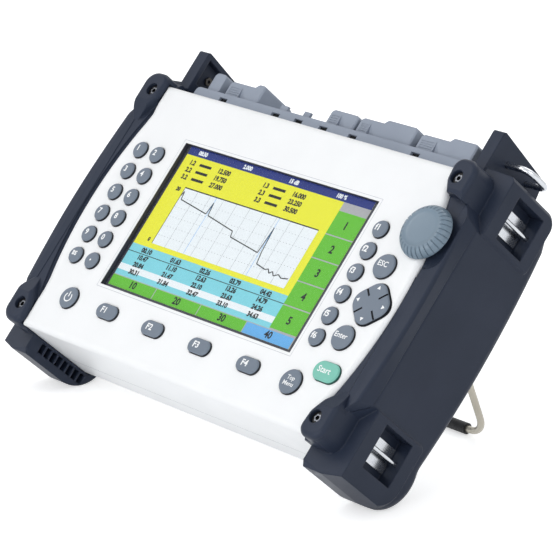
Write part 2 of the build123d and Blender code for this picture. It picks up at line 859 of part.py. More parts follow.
def strap_loops():
    start = fin_outer - loop_seat
    path = FilletPolyline((start, loop_front, loop_z), (loop_reach, loop_front, loop_z),
                          (loop_reach, loop_rear, loop_z), (start, loop_rear, loop_z), radius=loop_bend)
    profile = Plane(origin=(start, loop_front, loop_z), z_dir=(1, 0, 0)) * Circle(loop_wire / 2)
    loop = sweep(profile, path=path)
    return [loop, mirrored(loop)]


# Port covers from left to right: x range, form, x range of the grip, x where the raised part or recess ends
cover_plans = [
    ("port_cover_1", -89.6, -61.2, "stepped", -89.6, -78.0, -67.5),
    ("port_cover_2", -60.2, -26.2, "flat", -42.0, -36.0, None),
    ("port_cover_3", -25.2, -5.2, "flat", -22.5, -17.4, None),
    ("port_cover_4", -4.2, 17.5, "level", -4.2, 5.0, 16.0),
    ("port_cover_5", 19.6, 62.1, "stepped", 19.6, 28.5, 38.5),
    ("port_cover_6", 66.5, 107.5, "stepped", 66.5, 79.5, 89.0),
]


def cover_outline(x0, x1, form, rise, inset):
    low = port_deck + cover_lift
    if inset:
        low = port_deck - 1
    a = x0 + inset
    b = x1 - inset
    left = port_deck - inset + (cover_flat if form == "flat" else cover_low)
    if form == "stepped":
        right = port_deck + cover_high - inset
        step = rise + inset
        points = [(a, low), (b, low), (b, right), (step, right), (step - cover_step, left), (a, left)]
        rounded = [(b, right), (step, right), (a, left)]
    else:
        points = [(a, low), (b, low), (b, left), (a, left)]
        rounded = [(b, left), (a, left)]
    face = make_face(Polyline(*points, close=True))
    if inset or form == "flat":
        return face
    corners = [min(face.vertices(), key=lambda v: math.hypot(v.X - x, v.Y - z)) for x, z in rounded]
    return fillet(corners, cover_round)


def finger_recess(start, end):
    # Corner cut away by a slanted plane, deepest at the foot of the grip
    normal = (-recess_depth * recess_height, (start - end) * recess_height, (start - end) * recess_depth)
    back = cover_front + recess_depth
    slope = Plane(origin=(start, back, port_deck), z_dir=normal)
    reach = 4 * cover_rear
    room = block(start, end, cover_front - 1, back, port_deck, port_deck + recess_height)
    return room & (slope * Pos(0, 0, reach / 2) * Box(reach, reach, reach))


def port_cover(x0, x1, form, grip_start, grip_end, rise):
    # Hollow cap on a rear hinge, with a grooved grip and a finger recess beside it, or a flat flap with a tab
    cap = front_prism(cover_outline(x0, x1, form, rise, 0.0), cover_front, cover_rear)
    face_depth = cover_wall
    if form != "flat":
        front_edges = cap.faces().sort_by(Axis.Y)[0].edges()
        cap = chamfer(front_edges.filter_by(lambda e: e.center().Z > port_lip), cover_edge)
        face_depth += recess_depth
    cap -= front_prism(cover_outline(x0, x1, form, rise, cover_wall),
                       cover_front + face_depth, cover_rear - cover_wall)
    if form == "flat":
        top = port_deck + cover_flat
        cap += block(grip_start, grip_end, cover_front, cover_front + tab_plate,
                     top - cover_wall, top + tab_plate_height)
    else:
        cap -= finger_recess(grip_end, rise)
        for index in range(grip_grooves):
            z = port_deck + recess_height - grip_groove_step * (index + 1)
            cap -= block(grip_start + cover_round, grip_end - cover_edge, cover_front - 1,
                         cover_front + grip_groove, z - grip_groove_step / 2, z)
    inner = lug_inset + lug_thickness + 2 * lug_side_gap
    barrel = rod_x(hinge_y, hinge_z, hinge_barrel, x0 + inner, x1 - inner)
    web = block(x0 + inner, x1 - inner, cover_rear - cover_wall, hinge_y,
                hinge_z - hinge_web / 2, hinge_z + hinge_web / 2)
    pin_inset = lug_inset + lug_side_gap
    return cap + barrel + web + rod_x(hinge_y, hinge_z, hinge_pin, x0 + pin_inset, x1 - pin_inset)


def rounded_top(x0, x1, z0, z1, radius):
    # Front outline of a bar with rounded upper corners
    face = make_face(Polyline((x0, z0), (x1, z0), (x1, z1), (x0, z1), close=True))
    return fillet(face.vertices().group_by(Axis.Y)[-1], radius)


def top_port_panel():
    low = case_top - port_skirt
    half = port_half_width
    panel = block(-half, half, port_front, port_rear, low, port_deck)
    panel -= block(-half + port_wall, half - port_wall, port_front + port_wall, port_rear - port_wall,
                   low - 1, port_deck - port_plate)
    lip = rounded_top(-half, half, port_deck - 1, port_lip, lip_round)
    panel += front_prism(lip, port_front, port_front + lip_thickness)
    end = rounded_top(*end_block, port_deck - 1, port_deck + cover_high, cover_round)
    panel += front_prism(end, cover_front, cover_rear)
    lug = hinge_pin / 2 + lug_wall
    for name, x0, x1, form, grip_start, grip_end, rise in cover_plans:
        for x in (x0 + lug_inset, x1 - lug_inset - lug_thickness):
            panel += block(x, x + lug_thickness, hinge_y - lug, hinge_y + lug, port_deck - 1, hinge_z + lug)
            panel -= rod_x(hinge_y, hinge_z, hinge_pin + 2 * hinge_fit, x - 1, x + lug_thickness + 1)
        middle = (grip_start + grip_end) / 2
        slot_low = port_deck - slot_drop
        panel -= block(middle - slot_width / 2, middle + slot_width / 2, port_front - 1,
                       port_front + slot_depth, slot_low, slot_low + slot_height)
    for x in adapter_x:
        panel -= Pos(x, adapter_y, port_deck) * Cylinder(adapter_barrel / 2 + seat_gap, 2 * port_skirt)
    width, depth = usb_size
    half_w = width / 2 + seat_gap
    half_d = depth / 2 + seat_gap
    for x in usb_x:
        panel -= block(x - half_w, x + half_w, adapter_y - half_d, adapter_y + half_d, low - 1, port_deck + 1)
    return panel


def optical_adapters():
    adapters = []
    length = adapter_height + adapter_depth
    for x in adapter_x:
        place = Pos(x, adapter_y, port_deck)
        barrel = place * Pos(0, 0, adapter_height - length / 2) * Cylinder(adapter_barrel / 2, length)
        flange = Box(adapter_flange, adapter_flange, adapter_flange_height)
        flange = chamfer(flange.edges().filter_by(Axis.Z), adapter_flange_bevel)
        adapter = barrel + place * Pos(0, 0, adapter_flange_height / 2) * flange
        adapters.append(adapter - place * Cylinder(adapter_bore / 2, 3 * length))
    return adapters


def usb_sockets():
    # Shell with a rim on the deck, hollow mouth and a tongue
    width, depth = usb_size
    low = port_deck - usb_depth
    top = port_deck + usb_rim_height
    sockets = []
    for x in usb_x:
        place = Pos(x, adapter_y, 0)
        outer = block(-width / 2, width / 2, -depth / 2, depth / 2, low, top)
        rim = block(-width / 2 - usb_rim, width / 2 + usb_rim,
                    -depth / 2 - usb_rim, depth / 2 + usb_rim, port_deck, top)
        mouth = block(-width / 2 + usb_wall, width / 2 - usb_wall,
                      -depth / 2 + usb_wall, depth / 2 - usb_wall, low + usb_floor, top + 1)
        tongue = block(-width / 2 + 2 * usb_wall, width / 2 - 2 * usb_wall,
                       usb_wall, depth / 2 - 2 * usb_wall, low + usb_floor - 1, port_deck)
        sockets.append(place * (outer + rim - mouth + tongue))
    return sockets


def stand_swing(solid):
    axis = Axis((0, stand_pivot_y, stand_pivot_z), (1, 0, 0))
    return solid.rotate(axis, stand_open)


def tilt_stand():
    # One bent wire: pivot ends, two legs and the floor bar, drawn folded and swung open
    y = stand_pivot_y
    top = stand_pivot_z
    low = stand_pivot_z - stand_length
    w = stand_half_width
    path = FilletPolyline((stand_pin_inner, y, top), (w, y, top), (w, y, low), (-w, y, low), (-w, y, top),
                          (-stand_pin_inner, y, top),
                          radius=[stand_bend, stand_corner, stand_corner, stand_bend])
    profile = Plane(origin=(stand_pin_inner, y, top), z_dir=(1, 0, 0)) * Circle(stand_wire / 2)
    return stand_swing(sweep(profile, path=path))


def stand_sleeve():
    half = stand_half_width - stand_corner - stand_sleeve_gap
    low = stand_pivot_z - stand_length
    outer = rod_x(stand_pivot_y, low, stand_sleeve_outer, -half, half)
    return stand_swing(outer - rod_x(stand_pivot_y, low, stand_wire + 2 * stand_sleeve_fit, -half, half))


def stand_brackets():
    # Saddle on the back for each pivot end
    half = stand_bracket_height / 2
    x0 = stand_pin_inner + stand_pin_reach
    crown = stand_pivot_y - case_depth
    x1 = x0 + stand_bracket_width
    saddle = block(x0, x1, case_depth, stand_pivot_y, stand_pivot_z - half, stand_pivot_z + half)
    saddle += rod_x(stand_pivot_y, stand_pivot_z, 2 * crown, x0, x1)
    saddle -= rod_x(stand_pivot_y, stand_pivot_z, stand_wire + 2 * stand_fit, x0 - 1, x1 + 1)
    return [saddle, mirrored(saddle)]


def laid_back(shape):
    return Rot(-lean_degrees, 0, 0) * shape


def rest_shift(nodes):
    # Floor at z = 0 and the middle of the depth at y = 0
    boxes = [piece.bounding_box() for pieces in nodes.values() for piece in pieces]
    front = min(box.min.Y for box in boxes)
    rear = max(box.max.Y for box in boxes)
    floor = min(box.min.Z for box in boxes)
    return Pos(0, -(front + rear) / 2, -floor)


def collect():
    plans = key_plans()
    plain = right_bumper_plain()
    nodes = {
        "front_case": front_case(plans),
        "rear_case": rear_case(),
        "battery_door": battery_door(),
        "top_port_panel": top_port_panel(),
        "left_bumper": mirrored(plain),
        "right_bumper": right_bumper(plain),
        "bumper_screws": bumper_screws(),
        "strap_pins": strap_pins(),
        "strap_plates": strap_plates(),
        "strap_loops": strap_loops(),
        "display_window": display_window(),
        "display_module": display_module(),
        "keypad_membrane": keypad_membrane(),
        "keypad_board": keypad_board(),
        "main_board": main_board(),
        "optical_module": optical_module(),
        "battery_pack": battery_pack(),
        "rotary_encoder": rotary_encoder(),
        "jog_knob": jog_knob(),
        "cursor_pad": cursor_pad(),
        "cursor_pivot": cursor_pivot(),
        "optical_adapters": optical_adapters(),
        "usb_sockets": usb_sockets(),
        "tilt_stand": tilt_stand(),
        "stand_sleeve": stand_sleeve(),
        "stand_brackets": stand_brackets(),
    }
    for name, place, outline in plans:
        nodes[name] = key_solid(place, outline)
    for name, *plan in cover_plans:
        nodes[name] = port_cover(*plan)
    return nodes


os.makedirs("parts", exist_ok=True)
leaning = {}
for name, shape in collect().items():
    pieces = shape if isinstance(shape, list) else [shape]
    leaning[name] = [laid_back(piece) for piece in pieces]
shift = rest_shift(leaning)
for name, pieces in leaning.items():
    solids = [shift * piece for piece in pieces]
    node = solids[0] if len(solids) == 1 else Compound(children=solids)
    export_step(node, f"parts/{name}.step")
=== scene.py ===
import json
import math
import bmesh
import bpy
from mathutils import Matrix, Vector


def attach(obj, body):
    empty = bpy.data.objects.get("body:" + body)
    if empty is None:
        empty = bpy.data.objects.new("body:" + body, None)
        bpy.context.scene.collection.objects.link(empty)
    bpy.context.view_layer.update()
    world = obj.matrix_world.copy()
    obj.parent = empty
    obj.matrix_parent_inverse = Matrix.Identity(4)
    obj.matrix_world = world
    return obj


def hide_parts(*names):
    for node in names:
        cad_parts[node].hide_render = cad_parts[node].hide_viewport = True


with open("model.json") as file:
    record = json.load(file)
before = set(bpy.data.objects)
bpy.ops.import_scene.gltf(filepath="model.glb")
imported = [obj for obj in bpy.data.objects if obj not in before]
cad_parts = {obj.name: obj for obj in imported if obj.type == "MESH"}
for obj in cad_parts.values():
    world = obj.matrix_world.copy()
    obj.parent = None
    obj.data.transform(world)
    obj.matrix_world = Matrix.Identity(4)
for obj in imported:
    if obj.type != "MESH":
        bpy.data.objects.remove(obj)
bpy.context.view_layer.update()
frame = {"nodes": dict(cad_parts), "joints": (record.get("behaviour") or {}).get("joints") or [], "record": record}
nodes = frame["nodes"]
bpy.context.scene.view_settings.view_transform = "Standard"
print("frame loaded", len(nodes))

# The device is drawn upright in millimetres and leans back with the key axis
joints = {joint["name"]: joint for joint in frame["joints"]}
inward = Vector(joints["number_key_1_press"]["axis"])
upward = Vector((0, -inward.z, inward.y))
rightward = Vector((1, 0, 0))
hingePlace = Vector(joints["stand_fold"]["pos_m"])
hingeDevice = (0, 65, 114)
perMetre = 1000


def place(x, y, z):
    step = rightward * x + inward * (y - hingeDevice[1]) + upward * (z - hingeDevice[2])
    return hingePlace + step / perMetre


def devicePoint(spot):
    # The way back from the scene to the upright drawing
    step = (spot - hingePlace) * perMetre
    return step.dot(rightward), step.dot(inward) + hingeDevice[1], step.dot(upward) + hingeDevice[2]


def tone(code):
    # Linear colour of a written one
    values = [int(code[i:i + 2], 16) / 255 for i in (1, 3, 5)]
    linear = [v / 12.92 if v <= 0.04045 else ((v + 0.055) / 1.055) ** 2.4 for v in values]
    return (*linear, 1.0)


def newObject(name, data):
    piece = bpy.data.objects.new(name, data)
    bpy.context.scene.collection.objects.link(piece)
    return piece


def newMesh(name, points, faces, look=None):
    mesh = bpy.data.meshes.new(name)
    mesh.from_pydata(points, [], faces)
    if look:
        mesh.materials.append(look)
    return mesh


def addTrim(name, mesh, body):
    piece = newObject(name, mesh)
    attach(piece, body)


def loftFaces(rings, count, closed=True, start=0):
    # Quads between neighbouring rings of count points each
    faces = []
    for ring in range(rings - 1):
        low = start + ring * count
        for a in range(count if closed else count - 1):
            b = (a + 1) % count
            faces.append([low + a, low + b, low + count + b, low + count + a])
    return faces


cameraSettings = {"aim": (0.005011, 0.003167, 0.082523), "azimuth": 48.9875, "elevation": 17.2671,
                  "roll": 0.0812, "distance": 1.659332, "lens": 197.105, "sensor": 36.0, "far": 50}


def makeCamera(s):
    turn = math.radians(s["azimuth"])
    rise = math.radians(s["elevation"])
    away = Vector((math.sin(turn) * math.cos(rise), -math.cos(turn) * math.cos(rise), math.sin(rise)))
    data = bpy.data.cameras.new("camera")
    data.lens = s["lens"]
    data.sensor_width = s["sensor"]
    data.clip_end = s["far"]
    camera = newObject("camera", data)
    aim = (-away).to_track_quat("-Z", "Y").to_matrix().to_4x4()
    roll = Matrix.Rotation(math.radians(s["roll"]), 4, "Z")
    camera.matrix_world = Matrix.Translation(Vector(s["aim"]) + away * s["distance"]) @ aim @ roll
    bpy.context.scene.camera = camera


makeCamera(cameraSettings)
print("camera set")


def addNode(tree, kind, values=None):
    node = tree.nodes.new("ShaderNode" + kind)
    for socket, value in (values or {}).items():
        node.inputs[socket].default_value = value
    return node


# What a finish has where its own settings don't say otherwise
# wall is the tone of painted shade on walls square to the panel; None leaves it out
plainFinish = {"scale": 40, "detail": 4, "spread": (0.3, 0.7), "grain": 1500, "grainDetail": 2, "bump": 0.05,
               "grainHeight": 0.0003, "bevel": 0, "bevelSamples": 6, "wall": None, "wallShadeEdge": (0.3, 0.7),
               "metal": 0, "specular": 0.5, "glow": 0}


def paintWallShade(tree, coords, color, s):
    # Painted shade: walls that stand square to the panel take a darker tone, for the shade on the sides of the keys
    facing = addNode(tree, "VectorMath")
    facing.operation = "DOT_PRODUCT"
    facing.inputs[1].default_value = -inward
    tree.links.new(coords.outputs["Normal"], facing.inputs[0])
    share = addNode(tree, "MapRange", {"From Min": s["wallShadeEdge"][0], "From Max": s["wallShadeEdge"][1]})
    tree.links.new(facing.outputs["Value"], share.inputs["Value"])
    blend = addNode(tree, "Mix")
    blend.data_type = "RGBA"
    blend.inputs["A"].default_value = tone(s["wall"])
    tree.links.new(share.outputs["Result"], blend.inputs["Factor"])
    tree.links.new(color, blend.inputs["B"])
    return blend.outputs["Result"]


def makeMaterial(name, look):
    # Two close tones, uneven gloss and a fine grain, with edges softened in shading, and painted shade on square walls
    # where a wall tone is given
    s = {**plainFinish, **look}
    material = bpy.data.materials.new(name)
    material.use_nodes = True
    tree = material.node_tree
    link = tree.links.new
    surface = tree.nodes["Principled BSDF"]
    coords = addNode(tree, "TexCoord")
    cloud = addNode(tree, "TexNoise", {"Scale": s["scale"], "Detail": s["detail"]})
    link(coords.outputs["Object"], cloud.inputs["Vector"])
    ramp = addNode(tree, "ValToRGB")
    for stop, position, code in zip(ramp.color_ramp.elements, s["spread"], (s["base"], s["vary"])):
        stop.position = position
        stop.color = tone(code)
    link(cloud.outputs["Fac"], ramp.inputs["Fac"])
    color = ramp.outputs["Color"]
    # painted shade on the walls square to the panel
    if s["wall"]:
        color = paintWallShade(tree, coords, color, s)
    link(color, surface.inputs["Base Color"])
    gloss = addNode(tree, "MapRange", {"From Min": s["spread"][0], "From Max": s["spread"][1],
                                       "To Min": s["rough"][0], "To Max": s["rough"][1]})
    link(cloud.outputs["Fac"], gloss.inputs["Value"])
    link(gloss.outputs["Result"], surface.inputs["Roughness"])
    grain = addNode(tree, "TexNoise", {"Scale": s["grain"], "Detail": s["grainDetail"]})
    link(coords.outputs["Object"], grain.inputs["Vector"])
    bump = addNode(tree, "Bump", {"Strength": s["bump"], "Distance": s["grainHeight"]})
    link(grain.outputs["Fac"], bump.inputs["Height"])
    if s["bevel"]:
        soft = addNode(tree, "Bevel", {"Radius": s["bevel"]})
        soft.samples = s["bevelSamples"]
        link(soft.outputs["Normal"], bump.inputs["Normal"])
    link(bump.outputs["Normal"], surface.inputs["Normal"])
    surface.inputs["Metallic"].default_value = s["metal"]
    surface.inputs["Specular IOR Level"].default_value = s["specular"]
    if s["glow"]:
        link(ramp.outputs["Color"], surface.inputs["Emission Color"])
        surface.inputs["Emission Strength"].default_value = s["glow"]
    return material


def paint(names, material):
    for name in names:
        data = nodes[name].data
        data.materials.clear()
        data.materials.append(material)


slotLooks = {
    "case_white": {"base": "#F3F5F7", "vary": "#F0F2F4", "rough": (0.3, 0.36), "bump": 0.0,
                   "bevel": 0.0006, "specular": 0.35},
    "bumper_rubber": {"base": "#283041", "vary": "#242C3C", "rough": (0.4, 0.46), "bump": 0.05,
                      "bevel": 0.0011, "specular": 0.2},
    "port_grey": {"base": "#949DAC", "vary": "#8E97A6", "rough": (0.5, 0.56), "bump": 0.04,
                  "bevel": 0.0005, "specular": 0.35},
    # the wall tones of the two key finishes are painted shade on the sides of the keys
    "key_grey": {"base": "#737E8C", "vary": "#6E7987", "rough": (0.42, 0.48), "bump": 0.0,
                 "specular": 0.3, "wall": "#20242B"},
    "start_green": {"base": "#7CC2B2", "vary": "#76BCAC", "rough": (0.42, 0.48), "bump": 0.0,
                    "specular": 0.3, "wall": "#2A5E54"},
    "knob_grey": {"base": "#748797", "vary": "#6F8292", "rough": (0.27, 0.33), "bump": 0.0, "bevel": 0.0003},
    "display_black": {"base": "#3A3A46", "vary": "#35353F", "rough": (0.5, 0.55), "bump": 0.02},
    "keypad_rubber": {"base": "#B9BBBD", "vary": "#AFB1B3", "rough": (0.7, 0.8)},
    "board_green": {"base": "#2D6B3E", "vary": "#275E36", "rough": (0.35, 0.45), "scale": 120},
    "module_metal": {"base": "#C9CACC", "vary": "#BFC0C2", "rough": (0.3, 0.4), "metal": 1.0},
    "battery_black": {"base": "#26272B", "vary": "#1F2024", "rough": (0.5, 0.6)},
    "pivot_plastic": {"base": "#D5D6D8", "vary": "#CBCCCE", "rough": (0.45, 0.55)},
    "screw_black": {"base": "#17181C", "vary": "#101114", "rough": (0.3, 0.4), "metal": 0.4, "bevel": 0.0003},
    "bright_metal": {"base": "#CDD0D5", "vary": "#C6C9CE", "rough": (0.2, 0.24), "metal": 1.0, "bump": 0.0},
    "stand_steel": {"base": "#B9B4A8", "vary": "#ADA89C", "rough": (0.28, 0.36), "metal": 0.9},
    "sleeve_black": {"base": "#1B1C1F", "vary": "#151619", "rough": (0.55, 0.65)},
    "bracket_black": {"base": "#2B2F38", "vary": "#252932", "rough": (0.5, 0.6), "bevel": 0.0004},
}
slotLooks["clear_window"] = slotLooks["display_black"]  # this node is replaced by the clear pane below

slotNodes = {}
for part in frame["record"]["subparts"]:
    slotNodes.setdefault(part["material_slot"], []).append(part["node"])
looks = {}
for slotName, settings in slotLooks.items():
    looks[slotName] = makeMaterial(slotName, settings)
    paint(slotNodes[slotName], looks[slotName])
print("finishes on the frame", len(looks))


class Sheet:
    # Flat printed shapes, each facing the viewer of the panel
    def __init__(self):
        self.points = []
        self.faces = []
        self.inks = []

    def add(self, outline, y, ink):
        start = len(self.points)
        self.points += [place(x, y, z) for x, z in outline]
        self.faces.append(list(range(start, start + len(outline))))
        self.inks.append(ink)

    def bar(self, x0, x1, z0, z1, y, ink):
        self.add([(x0, z0), (x1, z0), (x1, z1), (x0, z1)], y, ink)

    def line(self, points, width, y, ink):
        for (x0, z0), (x1, z1) in zip(points, points[1:]):
            span = math.hypot(x1 - x0, z1 - z0)
            dx = (z1 - z0) / span * width / 2
            dz = (x1 - x0) / span * width / 2
            self.add([(x0 + dx, z0 - dz), (x1 + dx, z1 - dz), (x1 - dx, z1 + dz), (x0 - dx, z0 + dz)], y, ink)

    def words(self, text, x, z, size, y, ink, weight, stretch=1.0):
        curve = bpy.data.curves.new("words", "FONT")
        curve.body = text
        curve.size = size
        curve.align_x = "CENTER"
        curve.align_y = "CENTER"
        curve.offset = weight
        curve.resolution_u = 3
        writing = bpy.data.objects.new("words", curve)
        mesh = bpy.data.meshes.new_from_object(writing)
        start = len(self.points)
        self.points += [place(x + v.co.x * stretch, y, z + v.co.y) for v in mesh.vertices]
        for face in mesh.polygons:
            self.faces.append([start + i for i in face.vertices])
            self.inks.append(ink)
        bpy.data.objects.remove(writing)
        bpy.data.curves.remove(curve)
        bpy.data.meshes.remove(mesh)

    def build(self, name, body):
        mesh = newMesh(name, self.points, self.faces)
        inks = list(dict.fromkeys(self.inks))
        for ink in inks:
            mesh.materials.append(ink)
        for face, ink in zip(mesh.polygons, self.inks):
            face.material_index = inks.index(ink)
        addTrim(name, mesh, body)


# Printed legends sit just proud of the key tops
legendSettings = {"ink": {"base": "#F7F8F9", "vary": "#EFF1F3", "rough": (0.4, 0.5), "bump": 0.01},
                  "keyTop": -1.8, "lift": 0.04, "weight": 0.14}
whiteInk = makeMaterial("legend_white", legendSettings["ink"])
legendY = legendSettings["keyTop"] - legendSettings["lift"]


def printKey(key, lines, weight=legendSettings["weight"]):
    sheet = Sheet()
    for text, x, z, size in lines:
        sheet.words(text, x, z, size, legendY, whiteInk, weight)
    sheet.build("legend_" + key, key)


numberPlan = {"columns": (-107.7, -93.15), "top": 127.0, "step": 14.03, "size": 4.7, "shift": (-1.3, 0.5),
              "order": ("1", "2", "3", "4", "5", "6", "7", "8", "9", "0", "back", "dot"),
              "backText": "BS", "backSize": 3.7, "backShift": 0.4,
              "dotShift": (0.8, -0.6), "dotRadius": 0.6, "dotSteps": 16}


def printDot(s, x, z):
    ring = []
    for i in range(s["dotSteps"]):
        turn = 2 * math.pi * i / s["dotSteps"]
        ring.append((x + s["dotShift"][0] + s["dotRadius"] * math.cos(turn),
                     z + s["dotShift"][1] + s["dotRadius"] * math.sin(turn)))
    sheet = Sheet()
    sheet.add(ring, legendY, whiteInk)
    sheet.build("legend_number_key_dot", "number_key_dot")


def printNumbers(s):
    for index, label in enumerate(s["order"]):
        x = s["columns"][index % 2] + s["shift"][0]
        z = s["top"] - s["step"] * (index // 2) + s["shift"][1]
        if label == "dot":
            printDot(s, x, z)
        elif label == "back":
            printKey("number_key_back", [(s["backText"], x + s["backShift"], z, s["backSize"])])
        else:
            printKey("number_key_" + label, [(label, x, z, s["size"])])


printNumbers(numberPlan)

sidePlan = {"x": 91.0, "top": 124.9, "step": 13.13, "size": 4.9, "count": 6}
for index in range(sidePlan["count"]):
    z = sidePlan["top"] - sidePlan["step"] * index
    printKey(f"side_key_{index + 1}", [(f"f{index + 1}", sidePlan["x"], z, sidePlan["size"])])

softPlan = {"left": -61.1, "step": 39.35, "z": 32.7, "size": 5.0, "count": 4}
for index in range(softPlan["count"]):
    x = softPlan["left"] + softPlan["step"] * index
    printKey(f"soft_key_{index + 1}", [(f"F{index + 1}", x, softPlan["z"], softPlan["size"])])

wordPlan = {
    "escape_key": [("ESC", 107.8, 107.0, 4.4)],
    "enter_key": [("Enter", 108.0, 63.9, 4.2)],
    "menu_key": [("Top", 92.6, 34.0, 3.5), ("Menu", 92.6, 30.6, 3.5)],
    "start_key": [("Start", 110.4, 43.8, 4.8)],
}
wordWeight = 0.06
for key, lines in wordPlan.items():
    printKey(key, lines, wordWeight)

powerPlan = {"x": -93.15, "z": 32.4, "radius": 2.6, "width": 0.75, "gap": 40, "step": 10, "stroke": (0.3, 3.4)}


def printPower(s):
    arc = []
    for angle in range(s["gap"], 361 - s["gap"], s["step"]):
        turn = math.radians(angle)
        arc.append((s["x"] + s["radius"] * math.sin(turn), s["z"] + s["radius"] * math.cos(turn)))
    sheet = Sheet()
    sheet.line(arc, s["width"], legendY, whiteInk)
    sheet.line([(s["x"], s["z"] + rise) for rise in s["stroke"]], s["width"], legendY, whiteInk)
    sheet.build("legend_power_key", "power_key")


printPower(powerPlan)

cursorPlan = {"x": 114.6, "z": 84.9, "reach": 9.3, "size": 1.2, "tail": 0.7,
              "slit": (5.2, 10.4), "slitWidth": 1.0, "slitY": -1.35, "diagonal": 0.7071,
              "slitShadeInk": {"base": "#15171B", "vary": "#1B1D22", "rough": (0.6, 0.7), "bump": 0.0, "specular": 0.2}}


def printCursor(s):
    # Four printed arrow heads, and painted shade: black lines in the four slits between the arms of the pad
    sheet = Sheet()
    half = s["size"]
    for dx, dz in ((1, 0), (-1, 0), (0, 1), (0, -1)):
        cx, cz = s["x"] + dx * s["reach"], s["z"] + dz * s["reach"]
        tailX, tailZ = cx - dx * half * s["tail"], cz - dz * half * s["tail"]
        tip = (cx + dx * half, cz + dz * half)
        sideA = (tailX + dz * half, tailZ - dx * half)
        sideB = (tailX - dz * half, tailZ + dx * half)
        sheet.add([tip, sideB, sideA], legendY, whiteInk)
    slitShadeInk = makeMaterial("slit_shade_black", s["slitShadeInk"])
    for dx, dz in ((1, 1), (-1, 1), (-1, -1), (1, -1)):
        slit = [(s["x"] + dx * reach * s["diagonal"], s["z"] + dz * reach * s["diagonal"]) for reach in s["slit"]]
        sheet.line(slit, s["slitWidth"], s["slitY"], slitShadeInk)
    sheet.build("legend_cursor_pad", "cursor")


printCursor(cursorPlan)
print("legends made")

# Display: a picture sheet in front of the module and a thin clear pane over it
screenPlan = {"x": (-75.4, 75.4), "z": (48.7, 139.4), "base": 2.95, "layer": 0.05, "weight": 0.2, "stretch": 0.95}
screenFinish = {"rough": (0.45, 0.55), "scale": 900, "bump": 0.0, "glow": 0.32, "specular": 0.2}
screenTones = {
    "yellow": ("#E6E033", "#E0DA2D"), "green": ("#62B52F", "#5DAF2B"), "cyan": ("#80CAD4", "#7AC4CE"),
    "navy": ("#1B2D78", "#18296F"), "blue": ("#66A9DD", "#60A3D7"), "white": ("#E8E9EA", "#E2E3E4"),
    "grey": ("#A9A6A8", "#A3A0A2"), "black": ("#121316", "#0E0F12"), "dots": ("#9C9EA1", "#96989B"),
}
screenInks = {name: makeMaterial("screen_" + name, {"base": base, "vary": vary, **screenFinish})
              for name, (base, vary) in screenTones.items()}
screen = Sheet()
wide = screenPlan["x"][1] - screenPlan["x"][0]
high = screenPlan["z"][1] - screenPlan["z"][0]


def onScreen(u, v):
    return screenPlan["x"][0] + u, screenPlan["z"][0] + v


def layer(n):
    return screenPlan["base"] - screenPlan["layer"] * n


def patch(u0, u1, v0, v1, n, ink):
    (x0, z0), (x1, z1) = onScreen(u0, v0), onScreen(u1, v1)
    screen.bar(x0, x1, z0, z1, layer(n), screenInks[ink])


def stroke(points, width, n, ink):
    screen.line([onScreen(u, v) for u, v in points], width, layer(n), screenInks[ink])


def figure(text, u, v, size, n, ink):
    x, z = onScreen(u, v)
    screen.words(text, x, z, size, layer(n), screenInks[ink], screenPlan["weight"], screenPlan["stretch"])


header = {"height": 5.2, "texts": ("08:30", "2.000", "15 dB", "100 %"), "left": 12, "step": 38, "drop": 2.8,
          "size": 3.4}
headerLow = high - header["height"]
patch(0, wide, 0, high, 0, "yellow")
patch(0, wide, headerLow, high, 1, "navy")
for index, text in enumerate(header["texts"]):
    figure(text, header["left"] + index * header["step"], high - header["drop"], header["size"], 2, "white")

# Column of buttons beside the side keys and a bar over the soft keys
softBar = {"top": 7.0, "count": 4, "gap": 0.6, "rim": 0.5, "size": 5.8, "blue": 3}
column = {"width": 21.0, "count": 5, "head": 5.4, "gap": 0.7, "size": 6.4}
columnLeft = wide - column["width"]
columnStep = (headerLow - column["head"] - softBar["top"]) / column["count"]
patch(columnLeft, wide, softBar["top"], headerLow, 1, "grey")
for index in range(column["count"]):
    low = softBar["top"] + index * columnStep
    patch(columnLeft, wide, low + column["gap"], low + columnStep, 2, "green")
    label = str(column["count"] - index)
    figure(label, wide - column["width"] / 2, low + columnStep / 2, column["size"], 3, "black")
barStep = wide / softBar["count"]
patch(0, wide, 0, softBar["top"], 1, "grey")
for index in range(softBar["count"]):
    left = index * barStep
    ink = "blue" if index == softBar["blue"] else "green"
    patch(left, left + barStep - softBar["gap"], 0, softBar["top"] - softBar["rim"], 2, ink)
    figure(f"{(index + 1) * 10}", left + barStep / 2, softBar["top"] / 2, softBar["size"], 3, "black")

# Made-up readings in two columns
readings = {"rows": 3, "columns": (8, 70), "drop": 9.4, "row": 4.6, "size": 4.0, "dash": (6, 16), "dashHalf": 0.8,
            "value": 27, "first": 12.5, "rowStep": 7.25, "sideStep": 3.5}
for row in range(readings["rows"]):
    v = high - readings["drop"] - row * readings["row"]
    for side, u in enumerate(readings["columns"]):
        figure(f"{row + 1}.{side + 2}", u, v, readings["size"], 1, "black")
        patch(u + readings["dash"][0], u + readings["dash"][1], v - readings["dashHalf"], v + readings["dashHalf"],
              1, "black")
        value = readings["first"] + readings["rowStep"] * row + readings["sideStep"] * side
        figure(f"{value:.3f}", u + readings["value"], v, readings["size"], 1, "black")

# Graph with a dotted grid and a falling trace
graph = {"u": (14.0, 124.0), "v": (30.0, 66.0), "axis": 0.5, "head": 0.7, "columns": 10, "rows": 6, "lineHalf": 0.1,
         "dots": 44, "dotStart": 1.0, "dotStep": 2.5, "dotLong": 0.7, "dotHalf": 0.12, "traceWidth": 0.6,
         "markers": (27, 79.4), "markerWidth": 0.25, "labels": (("0", -4, 1.6), ("20", -5, 34.4)), "labelSize": 3.2,
         "trace": ((0, 31), (1, 34), (2, 29), (26, 25.5), (27, 33), (28.2, 25), (52, 21), (53, 17.5), (78, 14),
                   (79.4, 30), (80.6, 15), (82, 8), (90, 6.5), (92, 7.4), (94, 5.2), (96, 6.8), (98, 4.6),
                   (101, 6.2), (104, 4.8), (109, 5.6))}


